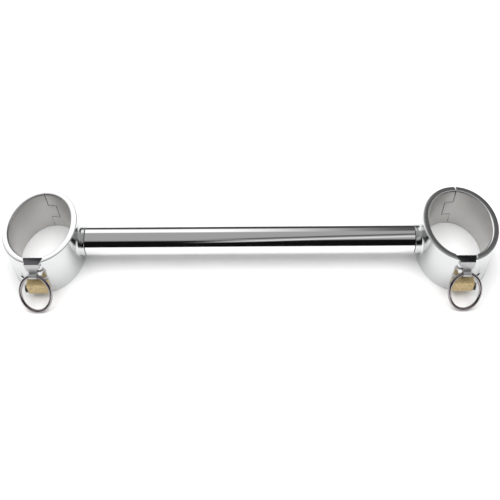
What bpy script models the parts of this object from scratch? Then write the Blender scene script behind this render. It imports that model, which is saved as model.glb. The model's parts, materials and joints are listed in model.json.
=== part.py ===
"""Rigid handcuffs: two hinged oval cuffs, each with a barrel lock and a ring, on one straight bar.

Metres, +Z up. The bar lies along X and the cuffs stand on z = 0, their bores upright. Every piece
of a cuff is modelled once in the right cuff's own frame: origin in the middle of the bore on the
ground, +X away from the bar and -Y towards the lock. The left cuff is its mirror image.
"""
import math

import bmesh
import bpy
from mathutils import Matrix, Vector

# Driving dimensions of a cuff
CUFF_CENTRE_X = 0.1772
CUFF_HEIGHT = 0.0433
OUTER_X, OUTER_Y = 0.03125, 0.0400
WALL = 0.0055
INNER_X, INNER_Y = OUTER_X - WALL, OUTER_Y - WALL
RIM_CHAMFER, BORE_CHAMFER = 0.0006, 0.0013
CUFF_SEGMENTS = 64
GAP = 0.0003
RUNNING = 0.00015
FAR, OVER = 0.1, 0.01

# Bar
BAR_RADIUS, BAR_BORE = 0.0127, 0.0108
BAR_Z = 0.0210
BOSS_END_X = -0.0361
BAR_END_X = BOSS_END_X - 0.0005
FLARE_RADIUS, FLARE_START_X, FLARE_END_X = 0.0150, -0.0335, -0.0285
PLUG_LENGTH, PLUG_RADIUS = 0.0126, 0.0105
BAR_SCREW_RADIUS, BAR_SCREW_HEAD = 0.0030, 0.0058
BAR_SCREW_HEAD_X, BAR_SCREW_HEAD_DEPTH, BAR_SCREW_LENGTH = -0.0262, 0.0028, 0.0197
BAR_SOCKET_RADIUS, BAR_SOCKET_DEPTH = 0.0021, 0.0018
PLUG_WEB = 0.0015
SEAT_MOUTH = 0.0006

# Hinge at the back of the cuff
HINGE_X, HINGE_Y = -0.0020, 0.0372
KNUCKLE_RADIUS = 0.0033
PIN_RADIUS, PIN_LOW, PIN_HIGH = 0.0015, 0.0005, 0.0405
TONGUE_LOW, TONGUE_HIGH = 0.01345, 0.02865
FRONT_SEAM_X = -0.0020

# Ring lug over the rim, and the ring in its eye
LUG_X, LUG_EYE_Y, LUG_EYE_Z = 0.0008, -0.0434, 0.0300
LUG_EYE_RADIUS, LUG_HOLE_RADIUS = 0.0025, 0.00185
LUG_EYE_HALF_WIDTH = 0.0033
LUG_CAP_LEFT, LUG_CAP_RIGHT, LUG_CAP_BOTTOM = -0.0091, 0.0083, 0.0388
LUG_CAP_BACK, LUG_PLATE_BACK, LUG_PLATE_FRONT = -0.0327, -0.0403, -0.0419
LUG_TOP_LEFT, LUG_TOP_RIGHT, LUG_TOP_Z = -0.0066, 0.0056, 0.0438
LUG_FRONT_ROUND = 0.0006
LUG_WAIST_Z, LUG_WAIST_ROUND, LUG_WAIST_TURN = 0.0325, 0.0070, 60
LUG_HALF_BLANK = 0.012
EYE_GUSSET_TURN, EYE_GUSSET_Z = 315, 0.0305
CROWN_RADIUS, CROWN_BACK_LEAN, CROWN_FRONT_LEAN = 0.0393, 24, 11
LUG_SCREW_Z, LUG_SCREW_RADIUS, LUG_SCREW_HEAD = 0.0346, 0.0012, 0.0023
LUG_SCREW_HEAD_Y, LUG_SCREW_HEAD_DEPTH, LUG_SCREW_LENGTH = -0.0347, 0.0011, 0.0067
LUG_SCREW_HOLE_END = -0.0416
LUG_SOCKET_RADIUS, LUG_SOCKET_DEPTH = 0.0008, 0.0007
RING_HALF_WIDTH, RING_HALF_LENGTH, RING_WIRE = 0.0127, 0.01645, 0.0013
RING_FOOT_GAP = 0.0002
RING_STEPS = 40

# Barrel lock
LOCK_LEFT, LOCK_RIGHT = -0.0090, 0.0090
LOCK_FRONT, LOCK_BACK, LOCK_HEEL_BACK = -0.0465, -0.0403, -0.0347
LOCK_TAIL_BACK = -0.0363
LOCK_LOW, LOCK_HIGH = 0.0090, 0.0205
LOCK_CHAMFER = 0.0005
SEAT_FRONT, SEAT_SLOPE_RISE = -0.0400, 0.0058
LOCK_TAIL_LEFT, LOCK_HEEL_LEFT = -0.0015, 0.0065
POCKET_RIGHT = LOCK_RIGHT + GAP
BARREL_Y, BARREL_Z, BARREL_RADIUS = -0.0433, 0.0123, 0.0023
BARREL_LEFT, BARREL_HEAD_RADIUS = -0.0049, 0.0035
BARREL_HEAD_LEFT, BARREL_HEAD_RIGHT = LOCK_RIGHT + GAP, 0.0112
BARREL_HEAD_EDGE = 0.0004
TAIL_RADIUS, TAIL_END = 0.0012, -0.0074
KEYWAY_END, KEYWAY_HALF, KEYWAY_LOW, KEYWAY_HIGH = -0.0035, 0.00045, 0.0107, 0.0131
CAM_LEFT, CAM_RIGHT = -0.0073, -0.0053
CAM_HUB, CAM_HALF_WIDTH, CAM_REACH, CAM_STEP = 0.0021, 0.0010, 0.0071, 0.00005
CHAMBER_LEFT, CHAMBER_RIGHT = -0.0081, -0.0050
CHAMBER_FRONT, CHAMBER_BACK, CHAMBER_LOW, CHAMBER_HIGH = -0.0458, -0.0390, 0.0096, 0.0199
CAM_SLOT_SHIFT, CAM_SLOT_BACK, CAM_SLOT_LOW, CAM_SLOT_HIGH = -0.0002, -0.0354, 0.0108, 0.0195
CAM_SCREW_FACE, CAM_SCREW_BACK, CAM_SCREW_TIP, CAM_SCREW_HOLE_END = -0.0086, -0.0076, -0.0046, -0.0042
CAM_SCREW_SLOT_HALF, CAM_SCREW_SLOT_DEPTH = 0.0003, 0.0005
CAM_SCREW_HEAD, CAM_SCREW_SHANK = 0.0016, 0.0006
STACK_X = (0.0058, 0.0028, -0.0002)
STACK_HOLE, TUMBLER_RADIUS = 0.00085, 0.00064
KEY_PIN_LOW, KEY_PIN_HIGH, KEY_PIN_POINT, KEY_PIN_TIP = 0.01275, 0.01435, 0.0005, 0.0002
DRIVER_LOW, DRIVER_HIGH = 0.0149, 0.0164
SPRING_LOW, SPRING_HIGH = 0.0167, 0.0195
SPRING_COIL, SPRING_WIRE, SPRING_TURNS = 0.00055, 0.00013, 3
COVER_THICK, COVER_HALF_WIDTH, COVER_MARGIN, COVER_SUNK = 0.0006, 0.0009, 0.0017, 0.00005
SET_SCREW_Y, SET_SCREW_Z, SET_SCREW_RADIUS = -0.0359, 0.0180, 0.0012
SET_HOLE_START, SET_SCREW_TIP, SET_SCREW_END = 0.0085, 0.0095, 0.0121
SET_SOCKET_RADIUS, SET_SOCKET_DEPTH = 0.0007, 0.0010

BAR_SCREW_SIZES = (BAR_SCREW_HEAD, BAR_SCREW_RADIUS, BAR_SCREW_HEAD_DEPTH, BAR_SCREW_LENGTH)
LUG_SCREW_SIZES = (LUG_SCREW_HEAD, LUG_SCREW_RADIUS, LUG_SCREW_HEAD_DEPTH, LUG_SCREW_LENGTH)
SAG = RING_HALF_LENGTH * (1 - math.sqrt(1 - (LUG_EYE_HALF_WIDTH / RING_HALF_WIDTH) ** 2))
RING_REACH = 2 * RING_HALF_LENGTH - SAG / 2
RING_LEAN = math.acos((LUG_EYE_Z - RING_WIRE - RING_FOOT_GAP) / RING_REACH)
RING_FRONT_Y = LUG_EYE_Y - RING_REACH * math.sin(RING_LEAN) - RING_WIRE
CUFF_Y = -(RING_FRONT_Y + OUTER_Y) / 2

STEEL = ("polished_steel", (0.78, 0.78, 0.79), 0.14, 1.0)
CHROME = ("chrome_wire", (0.82, 0.82, 0.84), 0.06, 1.0)
DARK_STEEL = ("dark_steel", (0.35, 0.35, 0.37), 0.35, 1.0)
BRASS = ("lock_brass", (0.72, 0.56, 0.28), 0.32, 1.0)
SPRING_STEEL = ("spring_steel", (0.60, 0.60, 0.62), 0.25, 1.0)

AXIS_TURN = {
    "X": Matrix.Rotation(math.pi / 2, 4, "Y"),
    "Y": Matrix.Rotation(-math.pi / 2, 4, "X"),
    "Z": Matrix.Identity(4),
}
PLANE_TURN = {
    "XY": Matrix.Identity(4),
    "XZ": Matrix.Rotation(math.pi / 2, 4, "X"),
    "YZ": Matrix(((0, 0, 1, 0), (1, 0, 0, 0), (0, 1, 0, 0), (0, 0, 0, 1))),
}


def clear_scene():
    for obj in list(bpy.data.objects):
        bpy.data.objects.remove(obj, do_unlink=True)


def part_collection():
    found = bpy.data.collections.new("rigid_handcuffs")
    bpy.context.scene.collection.children.link(found)
    return found


def material(name, colour, roughness, metallic):
    found = bpy.data.materials.get(name)
    if found:
        return found
    found = bpy.data.materials.new(name)
    found.use_nodes = True
    shader = found.node_tree.nodes["Principled BSDF"]
    shader.inputs["Base Color"].default_value = (*colour, 1.0)
    shader.inputs["Roughness"].default_value = roughness
    shader.inputs["Metallic"].default_value = metallic
    return found


def object_of(mesh):
    obj = bpy.data.objects.new("piece", mesh)
    bpy.context.scene.collection.objects.link(obj)
    return obj


def object_from(bm):
    """A new object from a bmesh, its faces pointing out."""
    bmesh.ops.recalc_face_normals(bm, faces=bm.faces)
    mesh = bpy.data.meshes.new("piece")
    bm.to_mesh(mesh)
    bm.free()
    return object_of(mesh)


def box(low, high):
    bm = bmesh.new()
    bmesh.ops.create_cube(bm, size=1.0)
    size = Vector(high) - Vector(low)
    bmesh.ops.scale(bm, vec=size, verts=bm.verts)
    bmesh.ops.translate(bm, vec=(Vector(high) + Vector(low)) / 2, verts=bm.verts)
    return object_from(bm)


def cone(axis, start, end, centre, radius_start, radius_end, segments=24):
    """A turned solid along X, Y or Z from start to end; centre gives its other two coordinates."""
    bm = bmesh.new()
    bmesh.ops.create_cone(
        bm,
        cap_ends=True,
        segments=segments,
        radius1=radius_start,
        radius2=radius_end,
        depth=end - start,
    )
    middle = (start + end) / 2
    place = {
        "X": Vector((middle, centre[0], centre[1])),
        "Y": Vector((centre[0], middle, centre[1])),
        "Z": Vector((centre[0], centre[1], middle)),
    }[axis]
    bmesh.ops.transform(bm, matrix=Matrix.Translation(place) @ AXIS_TURN[axis], verts=bm.verts)
    return object_from(bm)


def cylinder(axis, start, end, centre, radius, segments=24):
    return cone(axis, start, end, centre, radius, radius, segments)


def oval_prism(half_x, half_y, low, high, chamfer=0.0):
    """An upright oval solid, its two rim edges chamfered."""
    bm = bmesh.new()
    bmesh.ops.create_cone(
        bm, cap_ends=True, segments=CUFF_SEGMENTS, radius1=1.0, radius2=1.0, depth=high - low
    )
    bmesh.ops.scale(bm, vec=(half_x, half_y, 1.0), verts=bm.verts)
    bmesh.ops.translate(bm, vec=(0, 0, (low + high) / 2), verts=bm.verts)
    if chamfer:
        flat = [e for e in bm.edges if abs(e.verts[0].co.z - e.verts[1].co.z) < 1e-6]
        bmesh.ops.bevel(bm, geom=flat, offset=chamfer, segments=1, affect="EDGES")
    return object_from(bm)


def oval_flare(half_x, half_y, spread, low, high):
    """An upright oval solid that widens by spread from low to high."""
    bm = bmesh.new()
    bmesh.ops.create_cone(
        bm,
        cap_ends=True,
        segments=CUFF_SEGMENTS,
        radius1=1.0,
        radius2=(half_x + spread) / half_x,
        depth=abs(high - low),
    )
    if high < low:
        bmesh.ops.scale(bm, vec=(1, 1, -1), verts=bm.verts)
    bmesh.ops.scale(bm, vec=(half_x, half_y, 1.0), verts=bm.verts)
    bmesh.ops.translate(bm, vec=(0, 0, (low + high) / 2), verts=bm.verts)
    return object_from(bm)


def mesh_of_curve(data, turn):
    """The curve's solid as a mesh object with welded caps, turned into place."""
    curve = bpy.data.objects.new("curve", data)
    bpy.context.scene.collection.objects.link(curve)
    bpy.context.view_layer.update()
    evaluated = curve.evaluated_get(bpy.context.evaluated_depsgraph_get())
    mesh = bpy.data.meshes.new_from_object(evaluated)
    bpy.data.objects.remove(curve, do_unlink=True)
    bm = bmesh.new()
    bm.from_mesh(mesh)
    bpy.data.meshes.remove(mesh)
    bmesh.ops.remove_doubles(bm, verts=bm.verts, dist=1e-6)
    bmesh.ops.transform(bm, matrix=turn, verts=bm.verts)
    return object_from(bm)


def plate(outline, plane, start, end):
    """A flat outline in the XY, XZ or YZ plane, thickened from start to end across that plane."""
    data = bpy.data.curves.new("outline", "CURVE")
    data.dimensions = "2D"
    data.fill_mode = "BOTH"
    data.extrude = abs(end - start) / 2
    spline = data.splines.new("POLY")
    spline.points.add(len(outline) - 1)
    for point, (across, along) in zip(spline.points, outline):
        point.co = (across, along, 0, 1)
    spline.use_cyclic_u = True
    turn = PLANE_TURN[plane]
    middle = (start + end) / 2
    normal = {"XY": (0, 0, middle), "XZ": (0, middle, 0), "YZ": (middle, 0, 0)}[plane]
    return mesh_of_curve(data, Matrix.Translation(normal) @ turn)


def wire(points, radius, closed, resolution=2):
    data = bpy.data.curves.new("wire", "CURVE")
    data.dimensions = "3D"
    data.bevel_depth = radius
    data.bevel_resolution = resolution
    data.use_fill_caps = not closed
    spline = data.splines.new("POLY")
    spline.points.add(len(points) - 1)
    for point, place in zip(spline.points, points):
        point.co = (*place, 1)
    spline.use_cyclic_u = closed
    return mesh_of_curve(data, Matrix.Identity(4))


def combine(target, others, operation):
    """Joins or cuts target with each of the others, which are used up."""
    for other in others:
        modifier = target.modifiers.new("boolean", "BOOLEAN")
        modifier.operation = operation
        modifier.solver = "EXACT"
        modifier.object = other
    bpy.context.view_layer.update()
    evaluated = target.evaluated_get(bpy.context.evaluated_depsgraph_get())
    mesh = bpy.data.meshes.new_from_object(evaluated)
    target.modifiers.clear()
    target.data = mesh
    for other in others:
        bpy.data.objects.remove(other, do_unlink=True)
    return target


def join(target, *others):
    return combine(target, others, "UNION")


def cut(target, *others):
    return combine(target, others, "DIFFERENCE")


def common(target, *others):
    return combine(target, others, "INTERSECT")


def arc(centre, radius, first, last, steps):
    """Points along a circle, angles in degrees."""
    points = []
    for step in range(steps + 1):
        angle = math.radians(first + (last - first) * step / steps)
        points.append((centre[0] + radius * math.cos(angle), centre[1] + radius * math.sin(angle)))
    return points


def oval_blank():
    """The outside of the whole cuff, before it is bored and parted."""
    return oval_prism(OUTER_X, OUTER_Y, 0.0, CUFF_HEIGHT, RIM_CHAMFER)


def bore_cutters():
    """The bore, and the chamfers of its two mouths."""
    over = 0.0004
    reach = BORE_CHAMFER + over
    return (
        oval_prism(INNER_X, INNER_Y, -FAR, FAR),
        oval_flare(INNER_X, INNER_Y, reach, CUFF_HEIGHT - BORE_CHAMFER, CUFF_HEIGHT + over),
        oval_flare(INNER_X, INNER_Y, reach, BORE_CHAMFER, -over),
    )


def corner_cutter(outer_side, low, high):
    """What is outside the knuckle radius in one outer quarter around the hinge pin."""
    edge = HINGE_X + outer_side * OVER
    left, right = min(HINGE_X, edge), max(HINGE_X, edge)
    block = box((left, HINGE_Y, low), (right, HINGE_Y + OVER, high))
    post = cylinder("Z", low - OVER, high + OVER, (HINGE_X, HINGE_Y), KNUCKLE_RADIUS, 32)
    return cut(block, post)


def hinge_hole():
    return cylinder("Z", -OVER, PIN_HIGH + GAP, (HINGE_X, HINGE_Y), PIN_RADIUS + RUNNING)


def lug_plan(extra):
    """The lug from above: widest at the bore, narrowing to the plate in front of the wall."""
    back = LUG_CAP_BACK + extra
    return [
        (LUG_CAP_LEFT - extra, back),
        (LUG_TOP_LEFT - extra, LUG_PLATE_BACK),
        (LUG_TOP_LEFT - extra, LUG_PLATE_BACK - OVER),
        (LUG_TOP_RIGHT + extra, LUG_PLATE_BACK - OVER),
        (LUG_TOP_RIGHT + extra, LUG_PLATE_BACK),
        (LUG_CAP_RIGHT + extra, back),
    ]


def rim_notch():
    """The lug's cap and a gap all round, open towards the bore."""
    outline = lug_plan(GAP)
    outline.insert(0, (LUG_CAP_LEFT - GAP, LUG_CAP_BACK + OVER))
    outline.append((LUG_CAP_RIGHT + GAP, LUG_CAP_BACK + OVER))
    return plate(outline, "XY", LUG_CAP_BOTTOM - GAP, CUFF_HEIGHT + OVER)


def lock_seat():
    """A flat seat on the bar side of the seam, for the back of the lock body, with a sloping top."""
    inside = -OUTER_Y + WALL / 2
    side = [
        (inside, LOCK_LOW),
        (SEAT_FRONT, LOCK_LOW),
        (SEAT_FRONT, LOCK_HIGH),
        (inside, LOCK_HIGH + SEAT_SLOPE_RISE),
    ]
    return plate(side, "YZ", LOCK_LEFT, FRONT_SEAM_X)


def fixed_half():
    """The half on the bar: a shell with the boss, the two outer hinge knuckles and the cam slot."""
    body = oval_blank()
    join(
        body,
        cylinder("X", BOSS_END_X, FLARE_END_X, (0, BAR_Z), BAR_RADIUS, 64),
        cone("X", FLARE_START_X, FLARE_END_X, (0, BAR_Z), BAR_RADIUS, FLARE_RADIUS, 64),
        lock_seat(),
    )
    cut(body, *bore_cutters())
    seam = FRONT_SEAM_X - GAP / 2
    knuckle_end = HINGE_X + KNUCKLE_RADIUS
    tongue_end = HINGE_X - KNUCKLE_RADIUS
    cut(
        body,
        box((seam, -FAR, -FAR), (FAR, 0, FAR)),
        box((knuckle_end, -OVER, -FAR), (FAR, FAR, FAR)),
        box((tongue_end - GAP, OVER, TONGUE_LOW - GAP), (FAR, FAR, TONGUE_HIGH + GAP)),
        corner_cutter(1, -OVER, CUFF_HEIGHT + OVER),
        hinge_hole(),
    )
    slot_left, slot_right = CHAMBER_LEFT + CAM_SLOT_SHIFT, CHAMBER_RIGHT + CAM_SLOT_SHIFT
    cut(
        body,
        rim_notch(),
        box((slot_left, -FAR, CAM_SLOT_LOW), (slot_right, CAM_SLOT_BACK, CAM_SLOT_HIGH)),
        cylinder("X", -FAR, 0.0, (0, BAR_Z), BAR_SCREW_RADIUS + RUNNING, 32),
        screw_seat("X", BAR_SCREW_HEAD_X, (0, BAR_Z), BAR_SCREW_SIZES, 32),
    )
    return body


def hinged_half():
    """The half that opens: a shell with the middle hinge tongue, lock pocket and rim notch."""
    body = cut(oval_blank(), *bore_cutters())
    seam = FRONT_SEAM_X + GAP / 2
    knuckle_end = HINGE_X + KNUCKLE_RADIUS
    tongue_end = HINGE_X - KNUCKLE_RADIUS
    cut(
        body,
        box((-FAR, -FAR, -FAR), (seam, 0, FAR)),
        box((-FAR, -OVER, -FAR), (tongue_end, FAR, FAR)),
        box((-FAR, OVER, -FAR), (knuckle_end + GAP, FAR, TONGUE_LOW)),
        box((-FAR, OVER, TONGUE_HIGH), (knuckle_end + GAP, FAR, FAR)),
        corner_cutter(-1, -OVER, CUFF_HEIGHT + OVER),
        hinge_hole(),
    )
    lug_screw_axis = (LUG_X, LUG_SCREW_Z)
    cut(
        body,
        rim_notch(),
        box((LOCK_LEFT, -FAR, LOCK_LOW), (POCKET_RIGHT, LOCK_TAIL_BACK + GAP, LOCK_HIGH)),
        box(
            (LOCK_HEEL_LEFT - GAP, -FAR, LOCK_LOW),
            (POCKET_RIGHT, LOCK_HEEL_BACK + GAP, LOCK_HIGH),
        ),
        cylinder(
            "X", SET_HOLE_START, OUTER_X, (SET_SCREW_Y, SET_SCREW_Z), SET_SCREW_RADIUS + RUNNING, 20
        ),
        cylinder("Y", -FAR, -INNER_Y + OVER, lug_screw_axis, LUG_SCREW_RADIUS + RUNNING, 20),
        screw_seat("Y", LUG_SCREW_HEAD_Y, lug_screw_axis, LUG_SCREW_SIZES, 20),
    )
    return body


def hinge_pin():
    return cylinder("Z", PIN_LOW, PIN_HIGH, (HINGE_X, HINGE_Y), PIN_RADIUS)


def countersunk(axis, head, centre, sizes, socket):
    """A flat-head screw with a hexagon socket: its head face at `head`, its tip further down."""
    head_radius, shank_radius, head_depth, length = sizes
    body = cone(axis, head - head_depth, head, centre, shank_radius, head_radius, 24)
    neck = head - head_depth + RUNNING
    join(body, cylinder(axis, head - length, neck, centre, shank_radius * 0.995, 24))
    socket_radius, socket_depth = socket
    return cut(body, cylinder(axis, head - socket_depth, head + OVER, centre, socket_radius, 6))


def screw_seat(axis, head, centre, sizes, segments):
    """The countersink for such a screw, wider and deeper than its head by a gap."""
    head_radius, shank_radius, head_depth, _ = sizes
    depth = head_depth + RUNNING
    slope = (head_radius - shank_radius) / head_depth
    mouth = head_radius + GAP + SEAT_MOUTH * slope
    narrow = shank_radius + RUNNING
    return cone(axis, head - depth, head + SEAT_MOUTH, centre, narrow, mouth, segments)


def bar_screw():
    socket = (BAR_SOCKET_RADIUS, BAR_SOCKET_DEPTH)
    return countersunk("X", BAR_SCREW_HEAD_X, (0, BAR_Z), BAR_SCREW_SIZES, socket)


def lug_screw():
    socket = (LUG_SOCKET_RADIUS, LUG_SOCKET_DEPTH)
    return countersunk("Y", LUG_SCREW_HEAD_Y, (LUG_X, LUG_SCREW_Z), LUG_SCREW_SIZES, socket)


def end_plug():
    start = BAR_END_X - PLUG_LENGTH
    plug = cylinder("X", start, BAR_END_X, (0, BAR_Z), PLUG_RADIUS, 48)
    thread = cylinder("X", start + PLUG_WEB, 0, (0, BAR_Z), BAR_SCREW_RADIUS + RUNNING, 24)
    return cut(plug, thread)


def lug_side():
    """The lug from its end: a cap that slopes down to the bore, a thin plate and the ring's eye."""
    back, front = math.radians(CROWN_BACK_LEAN), math.radians(CROWN_FRONT_LEAN)
    crown_y = LUG_CAP_BACK - CROWN_RADIUS * math.sin(back)
    crown_z = LUG_TOP_Z - CROWN_RADIUS * math.cos(front)
    corner = LUG_FRONT_ROUND
    plate_turn = math.degrees(math.acos((LUG_PLATE_FRONT - LUG_EYE_Y) / LUG_EYE_RADIUS))
    side = [(LUG_CAP_BACK, LUG_CAP_BOTTOM)]
    side += arc((crown_y, crown_z), CROWN_RADIUS, 90 - CROWN_BACK_LEAN, 90 - CROWN_FRONT_LEAN, 6)
    round_centre = (LUG_PLATE_FRONT + corner, LUG_TOP_Z - corner)
    side += arc(round_centre, corner, 90 - CROWN_FRONT_LEAN, 180, 4)[1:]
    side += arc((LUG_EYE_Y, LUG_EYE_Z), LUG_EYE_RADIUS, plate_turn, EYE_GUSSET_TURN, 16)
    side += [(LUG_PLATE_BACK, EYE_GUSSET_Z), (LUG_PLATE_BACK, LUG_CAP_BOTTOM)]
    return side


def lug_front():
    """The lug from the front: the cap, and sides that curve in to the eye."""
    left, right = LUG_X - LUG_EYE_HALF_WIDTH, LUG_X + LUG_EYE_HALF_WIDTH
    radius, turn = LUG_WAIST_ROUND, LUG_WAIST_TURN
    shoulder = LUG_CAP_BOTTOM - RUNNING
    top, low = LUG_TOP_Z + OVER, LUG_EYE_Z - OVER
    front = [(-LUG_HALF_BLANK, top), (-LUG_HALF_BLANK, shoulder)]
    front += arc((left - radius, LUG_WAIST_Z), radius, turn, 0, 6)
    front += [(left, low), (right, low)]
    front += arc((right + radius, LUG_WAIST_Z), radius, 180, 180 - turn, 6)
    front += [(LUG_HALF_BLANK, shoulder), (LUG_HALF_BLANK, top)]
    return front


def ring_lug():
    """A sloping cap in the rim notch, and a plate down the wall that ends in the ring's eye."""
    lug = plate(lug_side(), "YZ", -LUG_HALF_BLANK, LUG_HALF_BLANK)
    common(lug, plate(lug_plan(0.0), "XY", 0.0, CUFF_HEIGHT + OVER))
    common(lug, plate(lug_front(), "XZ", -OUTER_Y - OVER, -INNER_Y + OVER))
    screw_hole = LUG_SCREW_RADIUS + RUNNING
    return cut(
        lug,
        cylinder("X", -FAR, FAR, (LUG_EYE_Y, LUG_EYE_Z), LUG_HOLE_RADIUS, 24),
        cylinder("Y", LUG_SCREW_HOLE_END, -INNER_Y, (LUG_X, LUG_SCREW_Z), screw_hole, 20),
    )


def ring():
    """An oval wire ring through the lug's eye, leaning out until its foot is at the ground."""
    down = Vector((0, -math.sin(RING_LEAN), -math.cos(RING_LEAN)))
    centre = Vector((LUG_X, LUG_EYE_Y, LUG_EYE_Z)) + down * (RING_HALF_LENGTH - SAG / 2)
    points = []
    for step in range(RING_STEPS):
        angle = 2 * math.pi * step / RING_STEPS
        across = Vector((RING_HALF_WIDTH * math.sin(angle), 0, 0))
        points.append(centre + across + down * RING_HALF_LENGTH * math.cos(angle))
    return wire(points, RING_WIRE, closed=True)


def stack_holes(low):
    return [
        cylinder("Z", low, LOCK_HIGH + OVER, (x, BARREL_Y), STACK_HOLE, 16)
        for x in STACK_X
    ]


def lock_body():
    """A brass block across the front seam, its tail and heel set in the hinged half's pocket."""
    bm = bmesh.new()
    bmesh.ops.create_cube(bm, size=1.0)
    low = Vector((LOCK_LEFT, LOCK_FRONT, LOCK_LOW))
    high = Vector((LOCK_RIGHT, LOCK_BACK, LOCK_HIGH))
    bmesh.ops.scale(bm, vec=high - low, verts=bm.verts)
    bmesh.ops.translate(bm, vec=(high + low) / 2, verts=bm.verts)
    front = [e for e in bm.edges if all(v.co.y < LOCK_FRONT + 1e-5 for v in e.verts)]
    bmesh.ops.bevel(bm, geom=front, offset=LOCK_CHAMFER, segments=2, affect="EDGES", profile=0.5)
    body = object_from(bm)
    tail_low, tail_high = LOCK_LOW + GAP, LOCK_HIGH - GAP
    overlap, right = LOCK_BACK - GAP, LOCK_RIGHT - RUNNING
    join(
        body,
        box((LOCK_TAIL_LEFT, overlap, tail_low), (right, LOCK_TAIL_BACK, tail_high)),
        box((LOCK_HEEL_LEFT, overlap, tail_low), (right, LOCK_HEEL_BACK, tail_high)),
    )
    axis = (BARREL_Y, BARREL_Z)
    cover_half = COVER_HALF_WIDTH + GAP
    cut(
        body,
        cylinder("X", CHAMBER_RIGHT - GAP, FAR, axis, BARREL_RADIUS + RUNNING, 32),
        box((CHAMBER_LEFT, CHAMBER_FRONT, CHAMBER_LOW), (CHAMBER_RIGHT, CHAMBER_BACK, CHAMBER_HIGH)),
        cylinder("X", -FAR, CHAMBER_LEFT + GAP, axis, CAM_SCREW_HEAD + 2 * RUNNING, 24),
        box(
            (STACK_X[-1] - COVER_MARGIN - GAP, BARREL_Y - cover_half, LOCK_HIGH - COVER_THICK - GAP),
            (STACK_X[0] + COVER_MARGIN + GAP, BARREL_Y + cover_half, LOCK_HIGH + OVER),
        ),
        *stack_holes(BARREL_Z),
    )
    return body


def spring_cover():
    return box(
        (STACK_X[-1] - COVER_MARGIN, BARREL_Y - COVER_HALF_WIDTH, LOCK_HIGH - COVER_THICK),
        (STACK_X[0] + COVER_MARGIN, BARREL_Y + COVER_HALF_WIDTH, LOCK_HIGH - COVER_SUNK),
    )


def lock_plug():
    """The turning barrel: a head outside the block, a keyway, the key pins' holes and a cam tail."""
    axis = (BARREL_Y, BARREL_Z)
    plug = cylinder("X", BARREL_LEFT, BARREL_HEAD_LEFT + GAP, axis, BARREL_RADIUS, 32)
    edge = BARREL_HEAD_RIGHT - BARREL_HEAD_EDGE
    small = BARREL_HEAD_RADIUS - BARREL_HEAD_EDGE
    join(
        plug,
        cylinder("X", BARREL_HEAD_LEFT, edge, axis, BARREL_HEAD_RADIUS, 32),
        cone("X", edge - RUNNING, BARREL_HEAD_RIGHT, axis, BARREL_HEAD_RADIUS, small, 32),
        cylinder("X", TAIL_END, BARREL_LEFT + GAP, axis, TAIL_RADIUS, 20),
    )
    keyway = box(
        (KEYWAY_END, BARREL_Y - KEYWAY_HALF, KEYWAY_LOW),
        (FAR, BARREL_Y + KEYWAY_HALF, KEYWAY_HIGH),
    )
    screw_hole = cylinder("X", -FAR, CAM_SCREW_HOLE_END, axis, CAM_SCREW_SHANK + RUNNING, 16)
    return cut(plug, keyway, screw_hole, *stack_holes(BARREL_Z + RUNNING))


def lock_cam():
    """A hub with a finger that points up when unlocked, and into the fixed half when locked."""
    axis = (BARREL_Y, BARREL_Z)
    cam = cylinder("X", CAM_LEFT, CAM_RIGHT, axis, CAM_HUB, 28)
    finger = box(
        (CAM_LEFT + CAM_STEP, BARREL_Y - CAM_HALF_WIDTH, BARREL_Z),
        (CAM_RIGHT - CAM_STEP, BARREL_Y + CAM_HALF_WIDTH, BARREL_Z + CAM_REACH),
    )
    join(cam, finger)
    return cut(cam, cylinder("X", -FAR, FAR, axis, TAIL_RADIUS + RUNNING, 20))


def cam_screw():
    axis = (BARREL_Y, BARREL_Z)
    screw = cylinder("X", CAM_SCREW_FACE, CAM_SCREW_BACK, axis, CAM_SCREW_HEAD, 20)
    join(screw, cylinder("X", CAM_SCREW_BACK - GAP, CAM_SCREW_TIP, axis, CAM_SCREW_SHANK, 12))
    slot = box(
        (CAM_SCREW_FACE - OVER, BARREL_Y - CAM_SCREW_SLOT_HALF, BARREL_Z - OVER),
        (CAM_SCREW_FACE + CAM_SCREW_SLOT_DEPTH, BARREL_Y + CAM_SCREW_SLOT_HALF, BARREL_Z + OVER),
    )
    return cut(screw, slot)


def key_pin(x):
    """A round pin with a pointed foot, its top just under the barrel's surface."""
    shoulder = KEY_PIN_LOW + KEY_PIN_POINT
    pin = cylinder("Z", shoulder, KEY_PIN_HIGH, (x, BARREL_Y), TUMBLER_RADIUS, 14)
    foot = cone(
        "Z", KEY_PIN_LOW, shoulder + RUNNING, (x, BARREL_Y), KEY_PIN_TIP, TUMBLER_RADIUS * 0.95, 14
    )
    return join(pin, foot)


def driver_pin(x):
    return cylinder("Z", DRIVER_LOW, DRIVER_HIGH, (x, BARREL_Y), TUMBLER_RADIUS, 14)


def tumbler_spring(x):
    points = []
    steps = SPRING_TURNS * 8
    for step in range(steps + 1):
        angle = 2 * math.pi * SPRING_TURNS * step / steps
        height = SPRING_LOW + (SPRING_HIGH - SPRING_LOW) * step / steps
        points.append(
            (x + SPRING_COIL * math.cos(angle), BARREL_Y + SPRING_COIL * math.sin(angle), height)
        )
    return wire(points, SPRING_WIRE, closed=False)


def lock_set_screw():
    axis = (SET_SCREW_Y, SET_SCREW_Z)
    screw = cylinder("X", SET_SCREW_TIP, SET_SCREW_END, axis, SET_SCREW_RADIUS, 20)
    socket = cylinder("X", SET_SCREW_END - SET_SOCKET_DEPTH, FAR, axis, SET_SOCKET_RADIUS, 6)
    return cut(screw, socket)


def bar_tube():
    """The straight tube between the two cuffs, in the object's own frame."""
    end = CUFF_CENTRE_X + BAR_END_X
    tube = cylinder("X", -end, end, (CUFF_Y, BAR_Z), BAR_RADIUS, 64)
    return cut(tube, cylinder("X", -2 * end, 2 * end, (CUFF_Y, BAR_Z), BAR_BORE, 48))


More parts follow.
